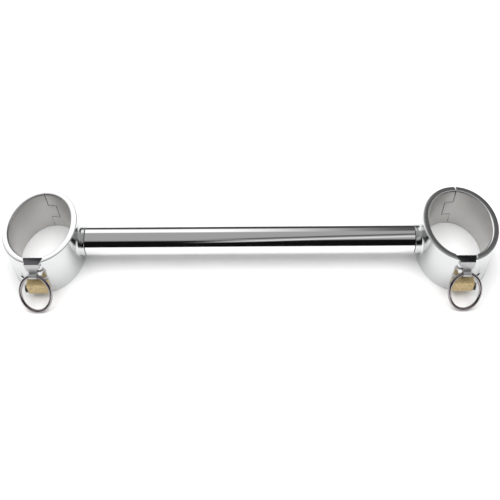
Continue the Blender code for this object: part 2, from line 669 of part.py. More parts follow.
def finish(obj, name, look, pivot=None):
    """Names the piece, gives it its material, and puts its origin on its joint's axis."""
    obj.name = name
    obj.data.name = name
    obj.data.materials.clear()
    obj.data.materials.append(material(*look))
    if pivot:
        obj.data.transform(Matrix.Translation(-Vector(pivot)))
        obj.location = pivot
    obj.data.shade_smooth()
    obj.data.set_sharp_from_angle(angle=math.radians(35))
    for owner in list(obj.users_collection):
        owner.objects.unlink(obj)
    PARTS.objects.link(obj)


def mirrored(mesh):
    copy = mesh.copy()
    copy.transform(Matrix.Scale(-1, 4, (1, 0, 0)))
    copy.flip_normals()
    return copy


def both_sides(piece, name, look, pivot=None):
    """Places a piece of the right cuff, and its mirror image in the left cuff."""
    piece.data.transform(Matrix.Translation((CUFF_CENTRE_X, CUFF_Y, 0)))
    left = object_of(mirrored(piece.data))
    right_pivot = left_pivot = None
    if pivot:
        right_pivot = (CUFF_CENTRE_X + pivot[0], CUFF_Y + pivot[1], pivot[2])
        left_pivot = (-right_pivot[0], right_pivot[1], right_pivot[2])
    finish(piece, "right_" + name, look, right_pivot)
    finish(left, "left_" + name, look, left_pivot)


def build():
    hinge = (HINGE_X, HINGE_Y, 0.0)
    barrel = (LUG_X, BARREL_Y, BARREL_Z)
    eye = (LUG_X, LUG_EYE_Y, LUG_EYE_Z)
    finish(bar_tube(), "bar_tube", STEEL)
    both_sides(end_plug(), "end_plug", STEEL)
    both_sides(bar_screw(), "bar_screw", DARK_STEEL)
    both_sides(fixed_half(), "fixed_half", STEEL)
    both_sides(hinge_pin(), "hinge_pin", DARK_STEEL)
    both_sides(hinged_half(), "hinged_half", STEEL, hinge)
    both_sides(ring_lug(), "ring_lug", STEEL, hinge)
    both_sides(lug_screw(), "lug_screw", DARK_STEEL, hinge)
    both_sides(lock_body(), "lock_body", BRASS, hinge)
    both_sides(spring_cover(), "spring_cover", BRASS, hinge)
    both_sides(lock_set_screw(), "lock_set_screw", DARK_STEEL, hinge)
    for number, x in enumerate(STACK_X, 1):
        both_sides(driver_pin(x), f"driver_pin_{number}", BRASS, hinge)
        both_sides(tumbler_spring(x), f"tumbler_spring_{number}", SPRING_STEEL, hinge)
        both_sides(key_pin(x), f"key_pin_{number}", BRASS, barrel)
    both_sides(lock_plug(), "lock_plug", DARK_STEEL, barrel)
    both_sides(lock_cam(), "lock_cam", DARK_STEEL, barrel)
    both_sides(cam_screw(), "cam_screw", DARK_STEEL, barrel)
    both_sides(ring(), "ring", CHROME, eye)


clear_scene()
PARTS = part_collection()
build()
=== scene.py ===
"""The looks of the rigid handcuffs: polished steel cuffs and bar, brass locks, chrome rings.

Each visible steel or brass piece is rebuilt finely in the place of its CAD node. A cuff's pieces
are made once, in the right cuff's own frame (origin in the middle of the bore on the ground, +X
away from the bar, -Y towards the lock), and mirrored for the left cuff.
"""
import json
import math

import bmesh
import bpy
from mathutils import Matrix, Vector


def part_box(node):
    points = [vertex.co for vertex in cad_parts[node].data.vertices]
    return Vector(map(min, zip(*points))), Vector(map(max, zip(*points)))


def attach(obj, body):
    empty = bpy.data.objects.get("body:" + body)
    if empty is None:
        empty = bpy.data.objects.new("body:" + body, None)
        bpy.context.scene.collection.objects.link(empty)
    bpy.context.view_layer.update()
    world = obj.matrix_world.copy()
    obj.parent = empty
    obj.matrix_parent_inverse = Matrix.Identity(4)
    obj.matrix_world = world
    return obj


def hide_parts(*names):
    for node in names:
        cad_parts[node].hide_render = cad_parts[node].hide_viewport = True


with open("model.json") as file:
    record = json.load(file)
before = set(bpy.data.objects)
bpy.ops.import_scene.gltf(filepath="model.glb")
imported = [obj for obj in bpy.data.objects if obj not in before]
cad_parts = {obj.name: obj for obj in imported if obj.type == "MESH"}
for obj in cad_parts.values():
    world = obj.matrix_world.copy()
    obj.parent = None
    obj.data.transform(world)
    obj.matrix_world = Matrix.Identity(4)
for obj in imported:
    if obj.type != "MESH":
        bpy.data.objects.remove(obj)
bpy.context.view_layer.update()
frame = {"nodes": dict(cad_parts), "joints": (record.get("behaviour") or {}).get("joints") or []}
JOINTS = {joint["name"]: joint for joint in frame["joints"]}

# The frame's own places
CUFF_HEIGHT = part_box("right_fixed_half")[1].z
OUTER_X, OUTER_Y = 0.03125, 0.0400
WALL = 0.0055
INNER_X, INNER_Y = OUTER_X - WALL, OUTER_Y - WALL
CENTRE_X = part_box("right_hinged_half")[1].x - OUTER_X
CENTRE_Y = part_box("right_fixed_half")[1].y - OUTER_Y
CENTRE = Vector((CENTRE_X, CENTRE_Y, 0))
HINGE = Vector(JOINTS["right_gate_hinge"]["pos_m"]) - CENTRE
EYE = Vector(JOINTS["right_ring_swing"]["pos_m"]) - CENTRE
BARREL = Vector(JOINTS["right_key_turn"]["pos_m"]) - CENTRE


def in_cuff(node):
    """A right-cuff node's lowest and highest corners, in the cuff's own frame."""
    low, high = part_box(node)
    return low - CENTRE, high - CENTRE


def middle_of(node):
    low, high = in_cuff(node)
    return (low + high) / 2


BAR_LOW, BAR_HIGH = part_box("bar_tube")
BAR_RADIUS = (BAR_HIGH.z - BAR_LOW.z) / 2
BAR_Z = (BAR_HIGH.z + BAR_LOW.z) / 2
BAR_BORE = 0.0108
BOSS_END = in_cuff("right_fixed_half")[0].x
NECK_FILLET = 0.0026
BAR_SCREW_HOLE = 0.00315
FAR = 0.1

# Hinge and seams
KNUCKLE = 0.0033
PIN_HOLE, PIN_HOLE_TOP = 0.00165, 0.0408
TONGUE_LOW, TONGUE_HIGH = 0.01345, 0.02865
CORNER_REACH, BELOW_GROUND = 0.012, -0.01
SEAM_X, SEAM_GAP = HINGE.x, 0.0006
TONGUE_GAP = 0.0006

# Finish of the edges
RIM_ROUND_OUT, RIM_ROUND_IN = 0.0006, 0.0014
OVAL_STEPS = 192
EDGE_ROUND = 0.00016

# Lock
LOCK_LOW, LOCK_HIGH = in_cuff("right_lock_body")
LOCK_BACK, LOCK_TAIL_BACK = -0.0403, -0.0363
LOCK_TAIL_LEFT, LOCK_HEEL_LEFT = -0.0015, 0.0065
POCKET_GAP = 0.0003
CHAMBER_LEFT, CHAMBER_RIGHT = -0.0081, -0.0050
CAM_CHAMBER_FRONT, CAM_CHAMBER_BACK = -0.0458, -0.039
CAM_CHAMBER_LOW, CAM_CHAMBER_HIGH = 0.0096, 0.0199
CAM_SLOT_BACK, CAM_SLOT_LOW, CAM_SLOT_HIGH, CAM_SLOT_SHIFT = -0.0354, 0.0108, 0.0195, 0.0002
BARREL_RADIUS, BARREL_HEAD = 0.0023, 0.0035
SEAT_FRONT, SEAT_SLOPE_RISE = -0.0400, 0.0058
KEYWAY_HALF, KEYWAY_LOW, KEYWAY_HIGH = 0.00045, 0.0107, 0.0131

# Ring lug and ring
LUG_TOP_Z = in_cuff("right_ring_lug")[1].z
LUG_CAP_LEFT, LUG_CAP_RIGHT, LUG_CAP_BOTTOM = -0.0091, 0.0083, 0.0388
LUG_CAP_BACK, LUG_PLATE_BACK, LUG_PLATE_FRONT = -0.0327, -0.0403, -0.0419
LUG_TOP_LEFT, LUG_TOP_RIGHT = -0.0066, 0.0056
LUG_WAIST_Z, LUG_WAIST_ROUND, LUG_WAIST_TURN = 0.0325, 0.0070, 60
CROWN_RADIUS, CROWN_BACK_LEAN, CROWN_FRONT_LEAN = 0.0393, 24, 11
EYE_RADIUS, EYE_HOLE, EYE_HALF_WIDTH = 0.0025, 0.00185, 0.0033
LUG_SCREW_HOLE, LUG_SEAT_RADIUS = 0.00135, 0.0029
LUG_SEAT_START, LUG_SEAT_END = -0.0360, -0.0340
SET_HOLE, SET_HOLE_START = 0.0014, 0.0085
DIMPLE_RADIUS, DIMPLE_DEPTH = 0.0017, 0.0016
RING_LOW, RING_HIGH = in_cuff("right_ring")
RING_WIRE, RING_LOOK, RING_HALF_LENGTH = 0.0013, 0.0014, 0.01645

AXIS_TURN = {
    "X": Matrix.Rotation(math.pi / 2, 4, "Y"),
    "Y": Matrix.Rotation(-math.pi / 2, 4, "X"),
    "Z": Matrix.Identity(4),
}
PLANE_TURN = {
    "XY": Matrix.Identity(4),
    "XZ": Matrix.Rotation(math.pi / 2, 4, "X"),
    "YZ": Matrix(((0, 0, 1, 0), (1, 0, 0, 0), (0, 1, 0, 0), (0, 0, 0, 1))),
}


# Mesh helpers


def object_of(mesh):
    obj = bpy.data.objects.new("piece", mesh)
    bpy.context.scene.collection.objects.link(obj)
    return obj


def object_from(bm):
    bmesh.ops.recalc_face_normals(bm, faces=bm.faces)
    mesh = bpy.data.meshes.new("piece")
    bm.to_mesh(mesh)
    bm.free()
    return object_of(mesh)


def evaluated_mesh(obj):
    bpy.context.view_layer.update()
    return bpy.data.meshes.new_from_object(
        obj.evaluated_get(bpy.context.evaluated_depsgraph_get())
    )


def box(low, high):
    bm = bmesh.new()
    bmesh.ops.create_cube(bm, size=1.0)
    low, high = Vector(low), Vector(high)
    bmesh.ops.scale(bm, vec=high - low, verts=bm.verts)
    bmesh.ops.translate(bm, vec=(high + low) / 2, verts=bm.verts)
    return object_from(bm)


def turned(axis, profile, centre, segments=64, closed=False):
    """A solid of revolution. The profile's points are (place along the axis, radius)."""
    bm = bmesh.new()
    rings = []
    for along, radius in profile:
        ring = []
        for step in range(segments):
            angle = 2 * math.pi * step / segments
            ring.append(bm.verts.new((radius * math.cos(angle), radius * math.sin(angle), along)))
        rings.append(ring)
    pairs = list(zip(rings, rings[1:]))
    if closed:
        pairs.append((rings[-1], rings[0]))
    for first, second in pairs:
        for step in range(segments):
            after = (step + 1) % segments
            bm.faces.new((first[step], first[after], second[after], second[step]))
    if not closed:
        bm.faces.new(rings[0])
        bm.faces.new(rings[-1])
    place = {
        "X": Vector((0, centre[0], centre[1])),
        "Y": Vector((centre[0], 0, centre[1])),
        "Z": Vector((centre[0], centre[1], 0)),
    }[axis]
    matrix = Matrix.Translation(place) @ AXIS_TURN[axis]
    bmesh.ops.transform(bm, matrix=matrix, verts=bm.verts)
    return object_from(bm)


def cylinder(axis, start, end, centre, radius, segments=48):
    return turned(axis, [(start, radius), (end, radius)], centre, segments)


def corner_arc(centre, radius, first, last, steps):
    """Points round part of a circle, angles in degrees."""
    points = []
    for step in range(steps + 1):
        angle = math.radians(first + (last - first) * step / steps)
        points.append((centre[0] + radius * math.cos(angle), centre[1] + radius * math.sin(angle)))
    return points


def plate(outline, plane, start, end):
    """A flat outline in the XY, XZ or YZ plane, thickened from start to end across that plane."""
    bm = bmesh.new()
    verts = [bm.verts.new((across, along, 0)) for across, along in outline]
    bottom = bm.faces.new(verts)
    top = bmesh.ops.extrude_face_region(bm, geom=[bottom])["geom"]
    raised = [part for part in top if isinstance(part, bmesh.types.BMVert)]
    bmesh.ops.translate(bm, vec=(0, 0, abs(end - start)), verts=raised)
    bmesh.ops.translate(bm, vec=(0, 0, -abs(end - start) / 2), verts=bm.verts)
    middle = (start + end) / 2
    shift = {"XY": (0, 0, middle), "XZ": (0, middle, 0), "YZ": (middle, 0, 0)}[plane]
    matrix = Matrix.Translation(shift) @ PLANE_TURN[plane]
    bmesh.ops.transform(bm, matrix=matrix, verts=bm.verts)
    return object_from(bm)


def combine(target, others, operation):
    for other in others:
        modifier = target.modifiers.new("boolean", "BOOLEAN")
        modifier.operation = operation
        modifier.solver = "EXACT"
        modifier.object = other
    mesh = evaluated_mesh(target)
    target.modifiers.clear()
    target.data = mesh
    for other in others:
        bpy.data.objects.remove(other, do_unlink=True)
    return target


def join(target, *others):
    return combine(target, others, "UNION")


def merged(target, *others):
    """One mesh of several that reach into each other."""
    bm = bmesh.new()
    for obj in (target, *others):
        bm.from_mesh(obj.data)
    bm.to_mesh(target.data)
    bm.free()
    for other in others:
        bpy.data.objects.remove(other, do_unlink=True)
    return target


def cut(target, *others):
    return combine(target, others, "DIFFERENCE")


def common(target, *others):
    return combine(target, others, "INTERSECT")


def soften(obj, width=EDGE_ROUND, segments=2, angle=38):
    """Rounds the sharp edges that the cuts left."""
    bm = bmesh.new()
    bm.from_mesh(obj.data)
    bmesh.ops.remove_doubles(bm, verts=bm.verts, dist=2e-6)
    bmesh.ops.dissolve_degenerate(bm, edges=bm.edges, dist=2e-6)
    bm.to_mesh(obj.data)
    bm.free()
    modifier = obj.modifiers.new("edge", "BEVEL")
    modifier.width = width
    modifier.segments = segments
    modifier.limit_method = "ANGLE"
    modifier.angle_limit = math.radians(angle)
    modifier.use_clamp_overlap = True
    mesh = evaluated_mesh(obj)
    obj.modifiers.clear()
    obj.data = mesh
    return obj


def mirrored(mesh):
    copy = mesh.copy()
    copy.transform(Matrix.Scale(-1, 4, (1, 0, 0)))
    copy.flip_normals()
    return copy


# Materials


def new_material(name):
    """A material with its shader, the object's own coordinates, and the tree to add nodes to."""
    made = bpy.data.materials.new(name)
    made.use_nodes = True
    tree = made.node_tree
    shader = tree.nodes["Principled BSDF"]
    coordinates = tree.nodes.new("ShaderNodeTexCoord")
    return made, tree, shader, coordinates.outputs["Object"]


def stretched(tree, source, scale):
    mapping = tree.nodes.new("ShaderNodeMapping")
    mapping.inputs["Scale"].default_value = scale
    tree.links.new(source, mapping.inputs["Vector"])
    return mapping.outputs["Vector"]


def noise(tree, source, scale, detail=3.0, roughness=0.5):
    node = tree.nodes.new("ShaderNodeTexNoise")
    node.inputs["Scale"].default_value = scale
    node.inputs["Detail"].default_value = detail
    node.inputs["Roughness"].default_value = roughness
    tree.links.new(source, node.inputs["Vector"])
    return node.outputs["Fac"]


def spread(tree, source, low, high, source_low=0.3, source_high=0.7):
    """The source's usual range turned into low to high."""
    node = tree.nodes.new("ShaderNodeMapRange")
    node.inputs["From Min"].default_value = source_low
    node.inputs["From Max"].default_value = source_high
    node.inputs["To Min"].default_value = low
    node.inputs["To Max"].default_value = high
    tree.links.new(source, node.inputs["Value"])
    return node.outputs["Result"]


def two_tone(tree, source, dark, light):
    node = tree.nodes.new("ShaderNodeMix")
    node.data_type = "RGBA"
    node.inputs["A"].default_value = (*dark, 1)
    node.inputs["B"].default_value = (*light, 1)
    tree.links.new(source, node.inputs["Factor"])
    return node.outputs["Result"]


def bumped(tree, shader, source, distance, strength=1.0):
    node = tree.nodes.new("ShaderNodeBump")
    node.inputs["Distance"].default_value = distance
    node.inputs["Strength"].default_value = strength
    tree.links.new(source, node.inputs["Height"])
    tree.links.new(node.outputs["Normal"], shader.inputs["Normal"])


def metal(name, dark, light, roughness, grain, grain_scale, bump, metallic=1.0, mottle=45.0):
    """A metal with slow colour and roughness variation and a fine stretched grain."""
    made, tree, shader, place = new_material(name)
    shader.inputs["Metallic"].default_value = metallic
    slow = noise(tree, place, mottle, 4.0)
    fine = noise(tree, stretched(tree, place, grain), grain_scale, 3.0, 0.6)
    tree.links.new(two_tone(tree, slow, dark, light), shader.inputs["Base Color"])
    tree.links.new(spread(tree, fine, *roughness), shader.inputs["Roughness"])
    bumped(tree, shader, fine, bump)
    return made


def make_materials():
    return {
        "mirror": metal(
            "mirror_steel", (0.78, 0.78, 0.79), (0.83, 0.83, 0.83), (0.05, 0.09),
            (6, 160, 160), 4.0, 0.0000010,
        ),
        "polished": metal(
            "polished_steel", (0.60, 0.61, 0.61), (0.68, 0.69, 0.69), (0.15, 0.23),
            (90, 90, 900), 1.2, 0.0000025,
        ),
        "rim": metal(
            "ground_rim", (0.74, 0.74, 0.75), (0.80, 0.80, 0.80), (0.12, 0.19),
            (200, 200, 200), 1.6, 0.0000020,
        ),
        "satin": metal(
            "satin_bore", (0.53, 0.52, 0.505), (0.62, 0.61, 0.595), (0.38, 0.50),
            (60, 60, 1100), 1.4, 0.0000060, 0.72,
        ),
        "lug": metal(
            "satin_lug", (0.44, 0.44, 0.445), (0.52, 0.52, 0.525), (0.27, 0.33),
            (300, 300, 300), 1.0, 0.0000012, 0.72,
        ),
        # Near black on the lug's crown: painted dark reflection and shade, not the steel's own colour.
        "cap": metal(
            "cap_painted_dark_reflection", (0.075, 0.075, 0.08), (0.11, 0.11, 0.115), (0.24, 0.30),
            (300, 300, 300), 1.0, 0.0000010,
        ),
        "chrome": metal(
            "chrome_wire", (0.31, 0.28, 0.29), (0.38, 0.35, 0.36), (0.04, 0.08),
            (80, 80, 80), 2.0, 0.0000010,
        ),
        "brass": metal(
            "lock_brass", (0.22, 0.15, 0.05), (0.98, 0.78, 0.44), (0.42, 0.58),
            (150, 700, 900), 1.0, 0.0000110, 0.35, 700.0,
        ),
        "seat": metal(
            "blasted_seat", (0.60, 0.60, 0.60), (0.68, 0.68, 0.68), (0.55, 0.65),
            (300, 300, 300), 1.0, 0.0000010, 0.1,
        ),
        # Dark steel for the small screws, pins and cams; on the key barrel's head it is also painted
        # shade at the key end of the lock.
        "dark": metal(
            "dark_steel", (0.06, 0.06, 0.065), (0.11, 0.11, 0.115), (0.32, 0.46),
            (300, 300, 300), 1.0, 0.0000050,
        ),
        # Near black inside the clamping screw's hole and its dimple: painted shade in the recess.
        "black": metal(
            "screw_hole_painted_shade", (0.012, 0.012, 0.013), (0.02, 0.02, 0.02), (0.5, 0.6),
            (300, 300, 300), 1.0, 0.0000050,
        ),
        "spring": metal(
            "spring_steel", (0.50, 0.50, 0.52), (0.62, 0.62, 0.63), (0.18, 0.28),
            (900, 900, 900), 1.0, 0.0000030,
        ),
    }


# The cuffs


def oval_ring():
    """The whole cuff as one swept ring, with its four rims rounded."""
    outer, inner, top = RIM_ROUND_OUT, RIM_ROUND_IN, CUFF_HEIGHT
    # (share of the way from the bore to the outside, offset outwards, height)
    section = []
    for offset, height in corner_arc((-outer, outer), outer, -90, 0, 4):
        section.append((1, offset, height))
    for offset, height in corner_arc((-outer, top - outer), outer, 0, 90, 4):
        section.append((1, offset, height))
    for offset, height in corner_arc((inner, top - inner), inner, 90, 180, 4):
        section.append((0, offset, height))
    for offset, height in corner_arc((inner, inner), inner, 180, 270, 4):
        section.append((0, offset, height))
    bm = bmesh.new()
    loops = []
    for step in range(OVAL_STEPS):
        angle = 2 * math.pi * (step + 0.5) / OVAL_STEPS
        loop = []
        for share, offset, height in section:
            half_x = INNER_X + WALL * share
            half_y = INNER_Y + WALL * share
            place = Vector((half_x * math.cos(angle), half_y * math.sin(angle), height))
            out = Vector((math.cos(angle) / half_x, math.sin(angle) / half_y, 0)).normalized()
            loop.append(bm.verts.new(place + out * offset))
        loops.append(loop)
    for step, loop in enumerate(loops):
        following = loops[(step + 1) % OVAL_STEPS]
        for index in range(len(section)):
            after = (index + 1) % len(section)
            bm.faces.new((loop[index], following[index], following[after], loop[after]))
    return object_from(bm)


def corner_cutter(outer_side):
    """What is outside the knuckle radius in one outer quarter around the hinge pin."""
    edge = HINGE.x + outer_side * CORNER_REACH
    left, right = min(HINGE.x, edge), max(HINGE.x, edge)
    above = CUFF_HEIGHT - BELOW_GROUND
    block = box((left, HINGE.y, BELOW_GROUND), (right, HINGE.y + CORNER_REACH, above))
    return cut(block, cylinder("Z", -0.02, CUFF_HEIGHT + 0.02, (HINGE.x, HINGE.y), KNUCKLE, 64))


def hinge_hole():
    return cylinder("Z", BELOW_GROUND, PIN_HOLE_TOP, (HINGE.x, HINGE.y), PIN_HOLE, 32)


def lug_plan(extra):
    back = LUG_CAP_BACK + extra
    return [
        (LUG_CAP_LEFT - extra, back),
        (LUG_TOP_LEFT - extra, LUG_PLATE_BACK),
        (LUG_TOP_LEFT - extra, LUG_PLATE_BACK - 0.01),
        (LUG_TOP_RIGHT + extra, LUG_PLATE_BACK - 0.01),
        (LUG_TOP_RIGHT + extra, LUG_PLATE_BACK),
        (LUG_CAP_RIGHT + extra, back),
    ]


def rim_notch():
    clearance = 0.00018
    outline = lug_plan(clearance)
    outline.insert(0, (LUG_CAP_LEFT - clearance, LUG_CAP_BACK + 0.01))
    outline.append((LUG_CAP_RIGHT + clearance, LUG_CAP_BACK + 0.01))
    return plate(outline, "XY", LUG_CAP_BOTTOM - clearance, CUFF_HEIGHT + 0.01)


def wall_x(y):
    """Where the outside of the wall is, on the bar's side, at this y."""
    return -OUTER_X * math.sqrt(1 - (y / OUTER_Y) ** 2)


def boss():
    """The round end that meets the bar, with a fillet that follows the cuff's curved wall."""
    edge, bury, steps, segments = 0.0002, 0.0020, 8, 128
    bm = bmesh.new()
    rings = [[] for _ in range(steps + 4)]
    for part in range(segments):
        angle = 2 * math.pi * part / segments
        across, up = math.cos(angle), math.sin(angle)
        foot = wall_x((BAR_RADIUS + NECK_FILLET) * across)
        profile = [(BOSS_END, BAR_RADIUS - edge), (BOSS_END + edge, BAR_RADIUS)]
        for step in range(steps + 1):
            turn = math.pi / 2 * step / steps
            along = foot - NECK_FILLET * (1 - math.sin(turn))
            profile.append((along, BAR_RADIUS + NECK_FILLET * (1 - math.cos(turn))))
        profile.append((foot + bury, BAR_RADIUS + NECK_FILLET))
        for ring, (along, radius) in zip(rings, profile):
            ring.append(bm.verts.new((along, radius * across, BAR_Z + radius * up)))
    for first, second in zip(rings, rings[1:]):
        for part in range(segments):
            after = (part + 1) % segments
            bm.faces.new((first[part], first[after], second[after], second[part]))
    bm.faces.new(rings[0])
    root = bm.verts.new((-OUTER_X + bury, 0, BAR_Z))
    for part in range(segments):
        bm.faces.new((rings[-1][part], rings[-1][(part + 1) % segments], root))
    return object_from(bm)


def lock_seat():
    """The flat seat behind the lock body, with a sloping top."""
    inside = -OUTER_Y + WALL / 2
    side = [
        (inside, LOCK_LOW.z),
        (SEAT_FRONT, LOCK_LOW.z),
        (SEAT_FRONT, LOCK_HIGH.z),
        (inside, LOCK_HIGH.z + SEAT_SLOPE_RISE),
    ]
    return plate(side, "YZ", LOCK_LOW.x, SEAM_X - SEAM_GAP / 2)


def fixed_half():
    body = oval_ring()
    knuckle_end = HINGE.x + KNUCKLE
    tongue_end = HINGE.x - KNUCKLE - SEAM_GAP
    cut(
        body,
        box((SEAM_X - SEAM_GAP / 2, -FAR, -FAR), (FAR, 0, FAR)),
        box((knuckle_end, -0.001, -FAR), (FAR, FAR, FAR)),
        box((tongue_end, 0.01, TONGUE_LOW - TONGUE_GAP), (FAR, FAR, TONGUE_HIGH + TONGUE_GAP)),
        corner_cutter(1),
        hinge_hole(),
    )
    screw_head = in_cuff("right_bar_screw")[1].x
    seat_radius, seat_depth, mouth = 0.0067, 0.0036, 0.0006
    slot_low = (CHAMBER_LEFT - CAM_SLOT_SHIFT, -FAR, CAM_SLOT_LOW)
    slot_high = (CHAMBER_RIGHT - CAM_SLOT_SHIFT, CAM_SLOT_BACK, CAM_SLOT_HIGH)
    cut(
        body,
        rim_notch(),
        box(slot_low, slot_high),
        cylinder("X", -0.05, 0.0, (0, BAR_Z), BAR_SCREW_HOLE),
        turned(
            "X",
            [(screw_head - seat_depth, BAR_SCREW_HOLE), (screw_head + mouth, seat_radius)],
            (0, BAR_Z),
        ),
    )
    return soften(merged(body, boss(), cut(lock_seat(), box(slot_low, slot_high))))


def screw_mouth_place():
    """Where the clamping screw's hole comes out of the wall, and the wall's direction there."""
    grub = middle_of("right_lock_set_screw")
    place = Vector((-wall_x(grub.y), grub.y, grub.z))
    return place, Vector((place.x / OUTER_X**2, place.y / OUTER_Y**2, 0)).normalized()


def screw_mouth():
    """The round dimple, square to the wall, at the mouth of the clamping screw's hole."""
    place, out = screw_mouth_place()
    dimple = cylinder("Z", -DIMPLE_DEPTH, DIMPLE_DEPTH, (0, 0), DIMPLE_RADIUS, 32)
    turn = out.to_track_quat("Z", "Y").to_matrix().to_4x4()
    dimple.data.transform(Matrix.Translation(place) @ turn)
    return dimple


def hinged_half():
    body = oval_ring()
    knuckle_end = HINGE.x + KNUCKLE + SEAM_GAP
    tongue_end = HINGE.x - KNUCKLE
    cut(
        body,
        box((-FAR, -FAR, -FAR), (SEAM_X + SEAM_GAP / 2, 0, FAR)),
        box((-FAR, -0.001, -FAR), (tongue_end, FAR, FAR)),
        box((-FAR, 0.01, -FAR), (knuckle_end, FAR, TONGUE_LOW)),
        box((-FAR, 0.01, TONGUE_HIGH), (knuckle_end, FAR, FAR)),
        corner_cutter(-1),
        hinge_hole(),
    )
    pocket_right = LOCK_HIGH.x + POCKET_GAP
    grub = middle_of("right_lock_set_screw")
    lug_screw = middle_of("right_lug_screw")
    lug_screw_at = (lug_screw.x, lug_screw.z)
    cut(
        body,
        rim_notch(),
        box((-0.01, -FAR, LOCK_LOW.z), (pocket_right, LOCK_TAIL_BACK + POCKET_GAP, LOCK_HIGH.z)),
        box(
            (LOCK_HEEL_LEFT - POCKET_GAP, -FAR, LOCK_LOW.z),
            (pocket_right, LOCK_HIGH.y + POCKET_GAP, LOCK_HIGH.z),
        ),
        cylinder("X", SET_HOLE_START, 0.03, (grub.y, grub.z), SET_HOLE, 32),
        screw_mouth(),
        cylinder("Y", -0.05, -0.03, lug_screw_at, LUG_SCREW_HOLE, 32),
        turned(
            "Y",
            [(LUG_SEAT_START, LUG_SCREW_HOLE), (LUG_SEAT_END, LUG_SEAT_RADIUS)],
            lug_screw_at,
            48,
        ),
    )
    return soften(body)


def lug_side():
    """The lug from its end: a cap that slopes down to the bore, a thin plate and the ring's eye."""
    back, front = math.radians(CROWN_BACK_LEAN), math.radians(CROWN_FRONT_LEAN)
    crown_y = LUG_CAP_BACK - CROWN_RADIUS * math.sin(back)
    crown_z = LUG_TOP_Z - CROWN_RADIUS * math.cos(front)
    corner = 0.0006
    plate_turn = math.degrees(math.acos((LUG_PLATE_FRONT - EYE.y) / EYE_RADIUS))
    side = [(LUG_CAP_BACK, LUG_CAP_BOTTOM)]
    side += corner_arc(
        (crown_y, crown_z), CROWN_RADIUS, 90 - CROWN_BACK_LEAN, 90 - CROWN_FRONT_LEAN, 20
    )
    round_centre = (LUG_PLATE_FRONT + corner, LUG_TOP_Z - corner)
    side += corner_arc(round_centre, corner, 90 - CROWN_FRONT_LEAN, 180, 10)[1:]
    side += corner_arc((EYE.y, EYE.z), EYE_RADIUS, plate_turn, 315, 40)
    side += [(LUG_PLATE_BACK, EYE.z + 0.0005), (LUG_PLATE_BACK, LUG_CAP_BOTTOM)]
    return side


def lug_front():
    left, right = EYE.x - EYE_HALF_WIDTH, EYE.x + EYE_HALF_WIDTH
    radius, turn = LUG_WAIST_ROUND, LUG_WAIST_TURN
    shoulder = LUG_CAP_BOTTOM - 0.00015
    half, top, low = 0.012, LUG_TOP_Z + 0.01, EYE.z - 0.01
    front = [(-half, top), (-half, shoulder)]
    front += corner_arc((left - radius, LUG_WAIST_Z), radius, turn, 0, 16)
    front += [(left, low), (right, low)]
    front += corner_arc((right + radius, LUG_WAIST_Z), radius, 180, 180 - turn, 16)
    front += [(half, shoulder), (half, top)]
    return front


def ring_lug():
    lug = plate(lug_side(), "YZ", -0.012, 0.012)
    common(lug, plate(lug_plan(0.0), "XY", 0.0, 0.06))
    common(lug, plate(lug_front(), "XZ", -0.06, -0.02))
    screw = middle_of("right_lug_screw")
    cut(
        lug,
        cylinder("X", -0.02, 0.02, (EYE.y, EYE.z), EYE_HOLE),
        cylinder("Y", -0.0416, -0.03, (screw.x, screw.z), LUG_SCREW_HOLE, 32),
    )
    return soften(lug, 0.0002, 3, 32)


def ring():
    """The oval wire, swept round with its section square to its path."""
    foot = Vector((EYE.x, RING_LOW.y + RING_WIRE, RING_LOW.z + RING_WIRE))
    down = (foot - EYE).normalized()
    half_width = (RING_HIGH.x - RING_LOW.x) / 2 - RING_WIRE
    half_length = RING_HALF_LENGTH
    centre = foot - down * half_length
    side = Vector((1, 0, 0))
    normal = side.cross(down)
    steps, sections = 144, 20
    bm = bmesh.new()
    loops = []
    for step in range(steps):
        angle = 2 * math.pi * step / steps
        place = centre + side * half_width * math.sin(angle) + down * half_length * math.cos(angle)
        out = (
            side * half_length * math.sin(angle) + down * half_width * math.cos(angle)
        ).normalized()
        loop = []
        for part in range(sections):
            turn = 2 * math.pi * part / sections
            offset = out * math.cos(turn) + normal * math.sin(turn)
            loop.append(bm.verts.new(place + offset * RING_LOOK))
        loops.append(loop)
    for step, loop in enumerate(loops):
        following = loops[(step + 1) % steps]
        for part in range(sections):
            after = (part + 1) % sections
            bm.faces.new((loop[part], following[part], following[after], loop[after]))
    return object_from(bm)


